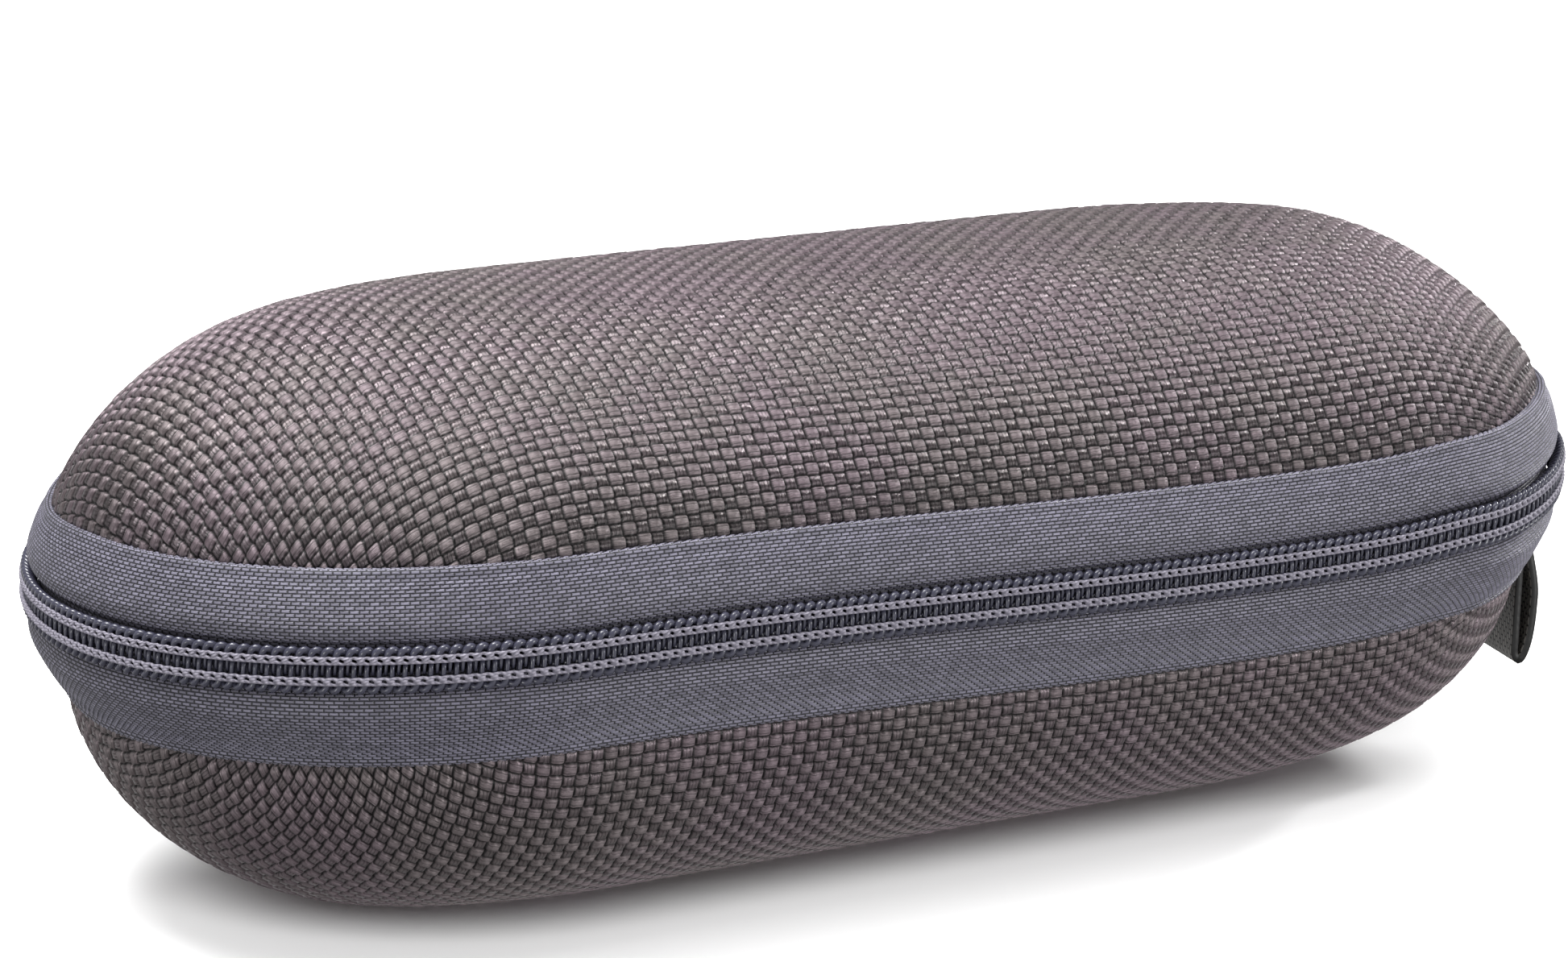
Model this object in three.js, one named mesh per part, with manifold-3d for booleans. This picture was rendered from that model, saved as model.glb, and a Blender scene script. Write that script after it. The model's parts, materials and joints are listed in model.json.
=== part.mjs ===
// Headphone carrying case: a moulded EVA clamshell in a woven skin, closed by a coil zip that runs round the
// front and both ends, with a fabric hinge along the back. Millimetres, +Z up. The origin is the middle of
// the flat face that the case rests on. +X points to the end with the webbing loop, and -Y to the front.
import * as THREE from 'three';
import { mergeVertices } from 'three/addons/utils/BufferGeometryUtils.js';
import Module from 'manifold-3d';

const wasm = await Module();
wasm.setup();

// Driving dimensions
const HALF_LENGTH = 109; // middle to the face of the zip chain, along X
const END_RADIUS = 48.7; // the round ends, and half the width
const BASE_DOME = 29.4; // floor to the lower seam
const BASE_BAND = 12.6; // lower seam to the zip
const LID_BAND = 10.8; // zip to the upper seam
const LID_DOME = 23.7; // upper seam to the top
const BASE_SEAM_INSET = 4.8; // how far the lower seam lies inside the zip's outline
const LID_SEAM_INSET = 3.4;
const BASE_CURVE = { side: 2.27, crown: 1.78 }; // roundness of the base's wall and floor
const LID_CURVE = { side: 2.5, crown: 1.38 };
const SKIN = 1.0; // woven cover
const EVA = 3.3; // moulded shell
const LINING = 0.8;
const BINDING_WIDTH = 5.5; // tape over the seam, inside the rim
const GAP = 0.3; // between pieces that touch
const TAPE = 0.9;
const COIL_SETBACK = 2.0; // coil face to tape face
const COIL_WIDTH = 2.3; // one coil row
const CHAIN_GAP = 1.6; // between the two rows, for the slider's keel
const RIM_GAP = 4.5; // zip to the shell's rim, for the slider's inner plate
const ZIP_END_ANGLE = 52; // the coils end this far round each end, behind its tip
const SLIDER_ANGLE = 38; // the closed slider, round the +X end

// Worked out from them
const SIDE = HALF_LENGTH - END_RADIUS; // half of the straight side
const ZIP_Z = BASE_DOME + BASE_BAND;
const LAYER = GAP + SKIN;
const STEP = THREE.MathUtils.degToRad(10); // one facet of a round end
const QUARTER = Math.PI / 2;

const FABRIC = { color: 0x7b7170, roughness: 0.75, metalness: 0 };
const TAPE_LOOK = { color: 0x6b6b80, roughness: 0.7, metalness: 0 };
const COIL_LOOK = { color: 0x4c4f68, roughness: 0.35, metalness: 0 };
const LINING_LOOK = { color: 0x3b3b40, roughness: 0.95, metalness: 0 };
const EVA_LOOK = { color: 0x2c2c2f, roughness: 0.85, metalness: 0 };
const METAL_LOOK = { color: 0x55565e, roughness: 0.3, metalness: 0.9 };
const WEBBING_LOOK = { color: 0x5c605a, roughness: 0.8, metalness: 0 };

const caseGroup = new THREE.Group();

function add(name, geometry, look) {
  const mesh = new THREE.Mesh(geometry, new THREE.MeshStandardMaterial(look));
  mesh.name = name;
  caseGroup.add(mesh);
  return mesh;
}

// Stations round the plan outline. Each has a point and the angle of its outward normal.

function station(centreX, angle) {
  const cos = Math.cos(angle);
  const sin = Math.sin(angle);
  return { x: centreX + END_RADIUS * cos, y: END_RADIUS * sin, nx: cos, ny: sin };
}

// Counter-clockwise round an end, whose arc is centred on centreX.
function endStations(centreX, from, to) {
  const count = Math.max(1, Math.round((to - from) / STEP));
  return Array.from({ length: count + 1 }, (_, i) => station(centreX, from + ((to - from) * i) / count));
}

// The whole outline, closed: its last station is its first one.
function wholeOutline() {
  const right = endStations(SIDE, -QUARTER, QUARTER);
  const left = endStations(-SIDE, QUARTER, 3 * QUARTER);
  return [...right, ...left, right[0]];
}

// From one angle behind the -X end's tip, round the front, to the same angle behind the +X end's tip.
function frontOutline(angle) {
  const left = endStations(-SIDE, Math.PI - angle, 3 * QUARTER);
  const right = endStations(SIDE, -QUARTER, angle);
  return [...left, ...right];
}

// Closed solids

// Merges shared vertices and turns the faces outwards.
function closed(geometry) {
  geometry.deleteAttribute('normal');
  geometry.deleteAttribute('uv');
  const merged = mergeVertices(geometry, 1e-4);
  const position = merged.getAttribute('position');
  const corners = [new THREE.Vector3(), new THREE.Vector3(), new THREE.Vector3()];
  const triangles = [];
  let volume = 0;
  for (let i = 0; i < merged.index.count; i += 3) {
    const ids = [0, 1, 2].map((k) => merged.index.getX(i + k));
    if (ids[0] === ids[1] || ids[1] === ids[2] || ids[2] === ids[0]) continue;
    ids.forEach((id, k) => corners[k].fromBufferAttribute(position, id));
    volume += corners[0].dot(corners[1].cross(corners[2]));
    triangles.push(ids);
  }
  merged.setIndex(triangles.flatMap(([a, b, c]) => (volume > 0 ? [a, b, c] : [a, c, b])));
  return merged;
}

// A section of [offset outside the outline, height] points, along an open run of stations, with flat ends.
function strip(section, stations) {
  const shape = new THREE.Shape(section.map(([offset, z]) => new THREE.Vector2(offset, z)));
  const steps = stations.length - 1;
  const geometry = new THREE.ExtrudeGeometry(shape, { depth: 1, steps, bevelEnabled: false });
  const position = geometry.getAttribute('position');
  for (let i = 0; i < position.count; i += 1) {
    const at = stations[Math.round(position.getZ(i) * steps)];
    const offset = position.getX(i);
    position.setXYZ(i, at.x + offset * at.nx, at.y + offset * at.ny, position.getY(i));
  }
  return closed(geometry);
}

// [inset, height] points carried round the whole outline. Level loops keep the outline's shape and shrink
// towards the spine, the straight line between the middles of the two ends.
function round(profile) {
  const stations = wholeOutline();
  const points = profile.map(([inset, z]) => new THREE.Vector2(END_RADIUS - inset, z));
  const geometry = new THREE.LatheGeometry(points, stations.length - 1);
  const position = geometry.getAttribute('position');
  stations.forEach((at, i) => {
    profile.forEach(([inset, z], j) => {
      const x = at.x * (1 - inset / HALF_LENGTH);
      const y = at.y * (1 - inset / END_RADIUS);
      position.setXYZ(i * profile.length + j, x, y, z);
    });
  });
  return closed(geometry);
}

// A ring of [inset, height] points, which closes on itself.
function ring(section) {
  return round([...section, section[0]]);
}

// Half of a dome's section, from the spine out to its seam, as [inset, height above the seam].
function domeCurve(seamInset, height, curve) {
  const count = 8;
  const points = [];
  for (let i = count; i >= 0; i -= 1) {
    const turn = (QUARTER * i) / count;
    const reach = Math.cos(turn) ** (2 / curve.side);
    const rise = Math.sin(turn) ** (2 / curve.crown);
    points.push([END_RADIUS - (END_RADIUS - seamInset) * reach, height * rise]);
  }
  points[0][0] = END_RADIUS;
  return points;
}

// One layer of a half: outer and inner dome curves, with a straight wall down to rimDrop under the seam.
// toZ turns a height above the seam into a height above the floor.
function layer(half, depth, thickness, rimDrop) {
  const outer = domeCurve(half.inset + depth, half.height - depth, half.curve);
  const inner = domeCurve(half.inset + depth + thickness, half.height - depth - thickness, half.curve);
  flatten(outer, half.flat);
  flatten(inner, half.flat);
  const rim = rimDrop > 0 ? [[half.inset + depth, -rimDrop], [half.inset + depth + thickness, -rimDrop]] : [];
  const profile = [...outer, ...rim, ...inner.reverse()];
  return round(profile.map(([inset, rise]) => [inset, half.toZ(rise)]));
}

// The floor of the base is pressed flat: its innermost points share the height of the outermost of them.
function flatten(points, count) {
  for (let i = 0; i < count; i += 1) points[i][1] = points[0][1];
}

const base = {
  inset: BASE_SEAM_INSET, height: BASE_DOME, curve: BASE_CURVE, flat: 2, toZ: (rise) => BASE_DOME - rise,
};
const lid = {
  inset: LID_SEAM_INSET, height: LID_DOME, curve: LID_CURVE, flat: 0,
  toZ: (rise) => ZIP_Z + LID_BAND + rise,
};

function addHalf(prefix, half, band) {
  const shellDepth = LAYER;
  const liningDepth = shellDepth + EVA + GAP;
  add(`${prefix}_cover`, layer(half, 0, SKIN, 0), FABRIC);
  add(`${prefix}_shell`, layer(half, shellDepth, EVA, band - RIM_GAP), EVA_LOOK);
  add(`${prefix}_lining`, layer(half, liningDepth, LINING, band - RIM_GAP - GAP), LINING_LOOK);

  // the binding tape covers the seam inside the rim
  const inside = half.inset + liningDepth + LINING + GAP;
  const bindingTop = band - RIM_GAP;
  const bindingFoot = bindingTop - BINDING_WIDTH;
  const section = [
    [inside, half.toZ(-bindingTop)],
    [inside, half.toZ(-bindingFoot)],
    [inside + LINING, half.toZ(-bindingFoot)],
    [inside + LINING, half.toZ(-bindingTop)],
  ];
  add(`${prefix}_binding`, ring(section), TAPE_LOOK);
}

// Zip tape: it bulges outwards between the coil and the seam. away is measured from the zip's plane.
function tapeSection(band, seamInset, side) {
  const outer = [
    [COIL_SETBACK, CHAIN_GAP / 2],
    [COIL_SETBACK, 3.2],
    [1.2, 4.6],
    [0.9, band * 0.55],
    [1.5, band * 0.8],
    [seamInset - TAPE - GAP, band],
  ];
  const inner = outer.map(([inset, away]) => [inset + TAPE, away]).reverse();
  return [...outer, ...inner].map(([inset, away]) => [-inset, ZIP_Z + side * away]);
}

// The coil row is a bar with a rounded face.
function coilSection(side) {
  const near = CHAIN_GAP / 2;
  const far = near + COIL_WIDTH;
  const back = COIL_SETBACK - GAP;
  const points = [[back, near], [0.4, near], [0, near + 0.5], [0, far - 0.8], [0.6, far], [back, far]];
  return points.map(([inset, away]) => [-inset, ZIP_Z + side * away]);
}

// A small crimp closes each end of each coil row.
function stopGeometry(side) {
  const box = new THREE.BoxGeometry(COIL_SETBACK - GAP, 2, COIL_WIDTH);
  box.translate(-(COIL_SETBACK - GAP) / 2, 0, ZIP_Z + side * (CHAIN_GAP + COIL_WIDTH) / 2);
  return box;
}

function addZipSide(prefix, band, seamInset, side) {
  add(`${prefix}_zip_tape`, strip(tapeSection(band, seamInset, side), frontOutline(QUARTER)), TAPE_LOOK);
  const end = THREE.MathUtils.degToRad(ZIP_END_ANGLE);
  add(`${prefix}_coil`, strip(coilSection(side), frontOutline(end)), COIL_LOOK);

  const stopTurn = (GAP + 1) / END_RADIUS;
  for (const [label, centreX, angle] of [
    ['right', SIDE, end + stopTurn],
    ['left', -SIDE, Math.PI - end - stopTurn],
  ]) {
    const at = station(centreX, angle);
    const geometry = stopGeometry(side);
    geometry.rotateZ(angle);
    geometry.translate(at.x, at.y, 0);
    add(`${prefix}_zip_stop_${label}`, closed(geometry), METAL_LOOK);
  }
}

// Hinge fabric along the straight back, in two halves that part at the zip's plane.
const HINGE_OUT = 0.6; // hinge axis outside the zip's outline
function addHingeStrip(prefix, band, seamInset, side) {
  const edge = 0.25;
  const outer = [[0, edge], [0, band * 0.5], [seamInset - TAPE - GAP, band]];
  const inner = outer.map(([inset, away]) => [inset + TAPE, away]).reverse();
  const section = [...outer, ...inner].map(([inset, away]) => [-inset, ZIP_Z + side * away]);
  const back = [QUARTER, QUARTER].map((angle, i) => station((i === 0 ? 1 : -1) * (SIDE - GAP), angle));
  add(`${prefix}_hinge_strip`, strip(section, back), TAPE_LOOK);
}

// Folded webbing loop, hanging from the lower seam at the +X end. Its section is drawn as
// [outside the outline, height], with the fold at the bottom.
function addLoop() {
  const width = 17;
  const turn = THREE.MathUtils.degToRad(-14);
  const top = BASE_DOME - GAP - 0.2;
  const fold = 12;
  const shape = new THREE.Shape();
  shape.moveTo(-4.4, top);
  shape.quadraticCurveTo(-4.6, 20, -4.6, fold + 2);
  shape.quadraticCurveTo(-4.4, fold, -3.2, fold);
  shape.quadraticCurveTo(-0.4, 18, -1.0, 23);
  shape.quadraticCurveTo(-1.4, 26, -2.2, top);
  shape.lineTo(-3.1, top);
  shape.quadraticCurveTo(-2.2, 25, -2.0, 22);
  shape.quadraticCurveTo(-1.8, 18, -3.2, fold + 1.4);
  shape.quadraticCurveTo(-3.6, fold + 1.4, -3.6, fold + 2);
  shape.quadraticCurveTo(-3.5, 20, -3.4, top);
  shape.closePath();
  const geometry = new THREE.ExtrudeGeometry(shape, { depth: width, bevelEnabled: false, curveSegments: 4 });
  geometry.translate(0, 0, -width / 2);
  geometry.rotateX(Math.PI / 2);
  geometry.rotateZ(turn);
  const at = station(SIDE, turn);
  geometry.translate(at.x, at.y, 0);
  add('webbing_loop', closed(geometry), WEBBING_LOOK);
}

// Mesh pocket across the back of the lid, with an elastic band along its open edge.
function addPocket() {
  const clear = 13; // inset from the outline, clear of the lining and the binding
  const edgeY = -8;
  const height = 13.5; // above the zip's plane
  const sheet = 0.8;
  const bandWidth = 6;
  const radius = END_RADIUS - clear;
  const start = Math.asin(edgeY / radius);
  const shape = new THREE.Shape();
  shape.absarc(SIDE, 0, radius, start, QUARTER, false);
  shape.absarc(-SIDE, 0, radius, QUARTER, Math.PI - start, false);
  shape.closePath();
  const pocket = new THREE.ExtrudeGeometry(shape, { depth: sheet, bevelEnabled: false, curveSegments: 10 });
  pocket.translate(0, 0, ZIP_Z + height);
  add('lid_pocket', closed(pocket), LINING_LOOK);

  const bandY = edgeY - GAP - bandWidth / 2;
  const reach = SIDE + Math.sqrt(radius ** 2 - (bandY - bandWidth / 2) ** 2);
  const band = new THREE.BoxGeometry(2 * reach, bandWidth, 1.2);
  band.translate(0, bandY, ZIP_Z + height + sheet / 2);
  add('lid_pocket_band', closed(band), WEBBING_LOOK);
}

// The slider and its pull are drawn at the tip of the +X end, with the outline's face at x = 0, y along the
// chain and z from the zip's plane, and then turned round the end to where the closed slider stands.

const KEEL = 1.0;
const PLATE_GAP = 0.6; // coil face to outer plate
const PLATE = 1.0;
const BRIDGE_HOLE = 1.8;
const PIVOT_OUT = PLATE_GAP + PLATE + BRIDGE_HOLE / 2;

function block(x0, x1, y0, y1, z0, z1) {
  const box = new THREE.BoxGeometry(x1 - x0, y1 - y0, z1 - z0);
  return box.translate((x0 + x1) / 2, (y0 + y1) / 2, (z0 + z1) / 2);
}

// A plate lying against the chain, with round corners.
function plate(x0, thickness, length, width, corner) {
  const shape = new THREE.Shape();
  const y = length / 2;
  const z = width / 2;
  shape.absarc(y - corner, z - corner, corner, 0, QUARTER, false);
  shape.absarc(corner - y, z - corner, corner, QUARTER, Math.PI, false);
  shape.absarc(corner - y, corner - z, corner, Math.PI, 3 * QUARTER, false);
  shape.absarc(y - corner, corner - z, corner, 3 * QUARTER, 4 * QUARTER, false);
  const geometry = new THREE.ExtrudeGeometry(shape, { depth: thickness, bevelEnabled: false, curveSegments: 4 });
  geometry.rotateX(Math.PI / 2);
  geometry.rotateZ(QUARTER);
  return geometry.translate(x0, 0, 0);
}

function toManifold(geometry) {
  const merged = closed(geometry);
  return new wasm.Manifold(new wasm.Mesh({
    numProp: 3,
    vertProperties: new Float32Array(merged.getAttribute('position').array),
    triVerts: new Uint32Array(merged.index.array),
  }));
}

function fromManifold(manifold) {
  const mesh = manifold.getMesh();
  const geometry = new THREE.BufferGeometry();
  geometry.setAttribute('position', new THREE.BufferAttribute(mesh.vertProperties, 3));
  geometry.setIndex(new THREE.BufferAttribute(mesh.triVerts, 1));
  return geometry;
}

function joined(geometries) {
  return geometries.map(toManifold).reduce((whole, piece) => whole.add(piece));
}

function placeOnChain(geometry) {
  const turn = THREE.MathUtils.degToRad(SLIDER_ANGLE);
  const at = station(SIDE, turn);
  geometry.rotateZ(turn);
  return geometry.translate(at.x, at.y, ZIP_Z);
}

function addSlider() {
  const outerFace = PLATE_GAP + PLATE;
  const bridgeIn = outerFace + BRIDGE_HOLE;
  const bridgeOut = bridgeIn + 0.9;
  const innerPlate = -(COIL_SETBACK + TAPE + 0.7);
  const overlap = 0.2;
  const pieces = [
    plate(PLATE_GAP, PLATE, 10, 8.8, 2.2),
    plate(innerPlate - PLATE, PLATE, 8, 6, 1.5),
    block(innerPlate - overlap, PLATE_GAP + overlap, -3.2, -1.2, -KEEL / 2, KEEL / 2),
    block(outerFace - overlap, bridgeOut, -3.8, -2.8, -1, 1),
    block(outerFace - overlap, bridgeOut, 2.8, 3.8, -1, 1),
    block(bridgeIn, bridgeOut, -3.8, 3.8, -1, 1),
    // side wall over the base's coil row, clear of the row itself
    block(-1.2, PLATE_GAP + overlap, -3, 3, -4.4, -3.6),
  ];
  add('slider_body', placeOnChain(fromManifold(joined(pieces))), METAL_LOOK);
}

function addPull() {
  const length = 24;
  const width = 7;
  const thickness = 1.0;
  const window = block(-5, 5, 0.45, 4.6, -1.35, 1.35);
  const tab = plate(-thickness / 2, thickness, length, width, 2);
  tab.translate(0, length / 2 - 0.45, 0);
  const hole = block(-5, 5, length - 5.2, length - 2.6, -1.3, 1.3);
  const pull = toManifold(tab).subtract(toManifold(window)).subtract(toManifold(hole));
  const geometry = fromManifold(pull);
  geometry.translate(PIVOT_OUT, 0, 0);
  add('pull_tab', placeOnChain(geometry), METAL_LOOK);
}

addHalf('base', base, BASE_BAND);
addHalf('lid', lid, LID_BAND);
addZipSide('base', BASE_BAND, BASE_SEAM_INSET, -1);
addZipSide('lid', LID_BAND, LID_SEAM_INSET, 1);
addHingeStrip('base', BASE_BAND, BASE_SEAM_INSET, -1);
addHingeStrip('lid', LID_BAND, LID_SEAM_INSET, 1);
addLoop();
addPocket();
addSlider();
addPull();

export default caseGroup;
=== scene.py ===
"""Looks of a zipped, moulded carrying case for headphones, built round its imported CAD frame."""
import json
import math

import bmesh
import bpy
import numpy as np
from mathutils import Matrix, Vector


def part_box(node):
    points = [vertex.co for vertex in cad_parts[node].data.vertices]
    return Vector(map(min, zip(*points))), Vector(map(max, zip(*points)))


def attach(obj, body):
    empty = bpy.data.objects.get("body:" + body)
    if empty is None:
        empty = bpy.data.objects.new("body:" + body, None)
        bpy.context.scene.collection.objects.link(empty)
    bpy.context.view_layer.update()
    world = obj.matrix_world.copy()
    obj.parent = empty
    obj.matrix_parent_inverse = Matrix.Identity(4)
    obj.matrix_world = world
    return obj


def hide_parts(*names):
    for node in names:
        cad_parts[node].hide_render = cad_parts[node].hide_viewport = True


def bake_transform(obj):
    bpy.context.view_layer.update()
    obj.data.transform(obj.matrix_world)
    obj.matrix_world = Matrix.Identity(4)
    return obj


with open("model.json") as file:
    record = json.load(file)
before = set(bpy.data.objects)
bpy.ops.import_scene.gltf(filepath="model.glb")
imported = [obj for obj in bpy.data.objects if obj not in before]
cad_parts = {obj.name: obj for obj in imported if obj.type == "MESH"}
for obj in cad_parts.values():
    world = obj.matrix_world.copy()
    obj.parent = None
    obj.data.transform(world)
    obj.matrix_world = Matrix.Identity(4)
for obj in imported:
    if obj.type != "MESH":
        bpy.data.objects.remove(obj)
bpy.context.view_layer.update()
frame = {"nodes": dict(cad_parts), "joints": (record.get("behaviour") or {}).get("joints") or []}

# ---- measures, all from the frame

MM = 0.001
PI = math.pi

coil_low, coil_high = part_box("lid_coil")
HALF_LENGTH, END_RADIUS = coil_high.x, -coil_low.y
SIDE = HALF_LENGTH - END_RADIUS
ZIP_Z = next(j for j in frame["joints"] if j["name"] == "lid_hinge")["pos_m"][2]
CHAIN_GAP, CHAIN_EDGE = coil_low.z - ZIP_Z, coil_high.z - ZIP_Z
QUARTER_ARC = END_RADIUS * PI / 2
HALF_ROUND = 2 * SIDE + 2 * QUARTER_ARC  # from the middle of the front to the middle of the back


def smoothstep(x):
    x = np.clip(x, 0, 1)
    return x * x * (3 - 2 * x)


class Half:
    """Outer shape of the base or the lid: a dome over a straight wall."""

    def __init__(self, name, side, curve, foot):
        low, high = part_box(f"{name}_cover")
        self.name, self.side, self.curve, self.foot = name, side, curve, foot
        self.seam_z = low.z if side > 0 else high.z
        self.height = high.z - low.z
        self.inset = HALF_LENGTH - high.x
        self.band = abs(self.seam_z - ZIP_Z)

    def section(self, depth=0.0, count=3001, wall=()):
        """Insets and rises of the dome's section, from the spine to the seam and down the wall."""
        turn = np.linspace(PI / 2, 0, count)
        reach = np.cos(turn) ** (2 / self.curve[0])
        rise = np.sin(turn) ** (2 / self.curve[1])
        reach[0] = 0
        if self.foot:
            start, full = np.radians(self.foot)
            share = smoothstep((turn - start) / (full - start))
            rise = np.minimum(1, rise + share * (1 - np.sin(full) ** (2 / self.curve[1])))
            rise[turn >= full] = 1
        inset = END_RADIUS - (END_RADIUS - self.inset - depth) * reach
        rise = (self.height - depth) * rise
        return np.append(inset, np.full(len(wall), inset[-1])), np.append(rise, wall)

    def z(self, rise):
        return self.seam_z + self.side * rise


BASE = Half("base", -1, (2.27, 1.78), (56, 78.75))
LID = Half("lid", 1, (2.5, 1.38), None)

# The bands and the zip run in a slight wave along the front, as sewn tape does.
WAVE = 1.09 * MM
BOW, TILT, SNAKE = 1.11, 0.34, 5.2  # how strongly each of its three terms counts
BAND_REACH = 12 * MM  # the whole wave reaches this far from the zip's plane
WAVE_FADE = 26 * MM  # height over which it dies out above and below that
SLIDER_OPEN_X = 66.5 * MM  # where the open slider stands
LEVEL_SPOT = 0.5 * MM  # the chain is lifted by this there, so that it runs level
LEVEL_REACH = 8 * MM
SEAM_DIP = 1.75 * MM  # behind the -X tip the upper seam dips and the lower one rises by this


def outline(along):
    """Points and outward normals of the zip's outline.

    along is 0 in the middle of the front and grows to +X.
    """
    along = np.asarray(along, float)
    sign = np.where(along < 0, -1.0, 1.0)
    run = np.abs(along)
    angle = np.clip((run - SIDE) / END_RADIUS, 0, PI) - PI / 2
    back = np.clip(run - SIDE - 2 * QUARTER_ARC, 0, None)
    x = np.minimum(run, SIDE) + END_RADIUS * np.cos(angle) - back
    normal = stacked(sign * np.cos(angle), np.sin(angle))
    return stacked(sign * x, END_RADIUS * np.sin(angle)), normal


def wave(points):
    """The points, moved up and down with the wave of the front."""
    t = np.clip(points[..., 0] / HALF_LENGTH, -1, 1)
    lift = WAVE * (BOW * (t * t - 0.33) + TILT * t + SNAKE * (t ** 3 - 0.6 * t))
    lift = lift + LEVEL_SPOT * np.exp(-((points[..., 0] - SLIDER_OPEN_X) / LEVEL_REACH) ** 2)
    back = points[..., 1] / END_RADIUS
    left = smoothstep(-t / 0.6)
    above = np.clip((points[..., 2] - ZIP_Z) / LID.band, -1, 1)
    lift = lift - SEAM_DIP * above * smoothstep((back + 0.1) / 0.6) * left
    front = smoothstep(-back / 0.75) * (1 - left) + (1 - smoothstep((back - 0.55) / 0.43)) * left
    near = 1 - smoothstep((np.abs(points[..., 2] - ZIP_Z) - BAND_REACH) / WAVE_FADE)
    moved = points.copy()
    moved[..., 2] += lift * front * near
    return moved


# ---- meshes


def stacked(*parts):
    """The arrays, broadcast to one shape and stacked as the last axis."""
    return np.stack(np.broadcast_arrays(*parts), -1)


def unit(vectors):
    return vectors / np.linalg.norm(vectors, axis=-1, keepdims=True)


def add_object(name, data):
    added = bpy.data.objects.new(name, data)
    bpy.context.scene.collection.objects.link(added)
    return added


def add_mesh(name, points, faces, material, uv=None, body=None, replaces=()):
    """A mesh piece. points (n, 3), faces (m, 3 or 4), uv per point (n, 2)."""
    points = np.asarray(points, np.float32).reshape(-1, 3)
    faces = np.asarray(faces, np.int32)
    used = np.unique(faces)
    if len(used) < len(points):
        renumber = np.full(len(points), -1, np.int32)
        renumber[used] = np.arange(len(used))
        points, faces = points[used], renumber[faces]
        uv = None if uv is None else np.asarray(uv).reshape(-1, 2)[used]
    mesh = bpy.data.meshes.new(name)
    sides = faces.shape[1]
    mesh.vertices.add(len(points))
    mesh.vertices.foreach_set("co", points.ravel())
    mesh.loops.add(faces.size)
    mesh.loops.foreach_set("vertex_index", faces.ravel())
    mesh.polygons.add(len(faces))
    mesh.polygons.foreach_set("loop_start", np.arange(0, faces.size, sides, dtype=np.int32))
    mesh.polygons.foreach_set("loop_total", np.full(len(faces), sides, np.int32))
    mesh.polygons.foreach_set("use_smooth", np.ones(len(faces), bool))
    if uv is not None:
        layer = mesh.uv_layers.new(name="Yarn")
        layer.data.foreach_set("uv", np.asarray(uv, np.float32).reshape(-1, 2)[faces.ravel()].ravel())
    mesh.update(calc_edges=True)
    mesh.validate()
    mesh.materials.append(material)
    piece = add_object(name, mesh)
    if body:
        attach(piece, body)
    if replaces:
        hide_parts(*replaces)
    return piece


def welded(mesh):
    """A form of a mesh whose points that lie on each other are one."""
    form = bmesh.new()
    form.from_mesh(mesh)
    bmesh.ops.remove_doubles(form, verts=form.verts, dist=1e-6)
    return form


def grid_faces(rows, columns, wrap_rows=False, wrap_columns=False, flip=False):
    """Quads over a rows x columns grid of points."""
    i, j = np.indices((rows - (not wrap_rows), columns - (not wrap_columns)))
    down, right = (i + 1) % rows, (j + 1) % columns
    corners = [i * columns + j, down * columns + j, down * columns + right, i * columns + right]
    quads = stacked(*corners).reshape(-1, 4)
    return quads[:, ::-1] if flip else quads


def tube(path, radius, around):
    """Points and quads of a tube along a path (n, 3)."""
    ahead = unit(np.gradient(path, axis=0))
    across = np.cross(ahead, [0.0, 0.0, 1.0])
    steep = np.abs(ahead[:, 2]) > 0.92
    across[steep] = np.cross(ahead[steep], path[steep] * [1, 1, 0])
    # the first direction is carried along, so that the tube doesn't twist
    for k in range(1, len(path)):
        side = across[k - 1] - ahead[k] * (across[k - 1] @ ahead[k])
        length = np.linalg.norm(side)
        across[k] = side / length if length > 1e-9 else across[k]
    across = unit(across)
    other = np.cross(across, ahead)
    turn = np.linspace(0, 2 * PI, around, endpoint=False)[:, None]
    ring = across[:, None] * np.cos(turn) + other[:, None] * np.sin(turn)
    points = path[:, None] + ring * np.broadcast_to(radius, len(path))[:, None, None]
    return points.reshape(-1, 3), grid_faces(len(path), around, wrap_columns=True)


def thread(path, radius, u, around):
    """Points, quads and yarn coordinates of a thread, with u along it."""
    points, faces = tube(path, radius, around)
    uv = stacked(np.repeat(u, around), np.tile(np.arange(around) / around, len(u)))
    return points, faces, uv


def joined(threads):
    """Points, quads and yarn coordinates of several threads, as one mesh."""
    points, faces, uvs = zip(*threads)
    starts = np.cumsum([0] + [len(p) for p in points[:-1]])
    return np.vstack(points), np.vstack([f + start for f, start in zip(faces, starts)]), np.vstack(uvs)


def spline_weights(q):
    """Shares of four points in a row (Catmull-Rom), at q from the second one to the third."""
    return (
        -0.5 * q + q ** 2 - 0.5 * q ** 3,
        1 - 2.5 * q ** 2 + 1.5 * q ** 3,
        0.5 * q + 2 * q ** 2 - 1.5 * q ** 3,
        -0.5 * q ** 2 + 0.5 * q ** 3,
    )


def smooth_line(points, spacing):
    """A smooth line through the points, resampled at even spacing."""
    points = np.asarray(points, float)
    ends = np.vstack([2 * points[0] - points[1], points, 2 * points[-1] - points[-2]])
    weights = stacked(*spline_weights(np.linspace(0, 1, 24, endpoint=False)))
    line = np.vstack([weights @ ends[k:k + 4] for k in range(len(points) - 1)] + [points[-1:]])
    far = np.concatenate([[0], np.cumsum(np.linalg.norm(np.diff(line, axis=0), axis=1))])
    count = max(2, int(round(far[-1] / spacing)) + 1)
    even = np.linspace(0, far[-1], count)
    return stacked(*(np.interp(even, far, column) for column in line.T))


def line_normals(line):
    """Normals of an (offset, z) line, to the right of its direction."""
    ahead = unit(np.gradient(line, axis=0))
    return stacked(ahead[:, 1], -ahead[:, 0])


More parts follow.
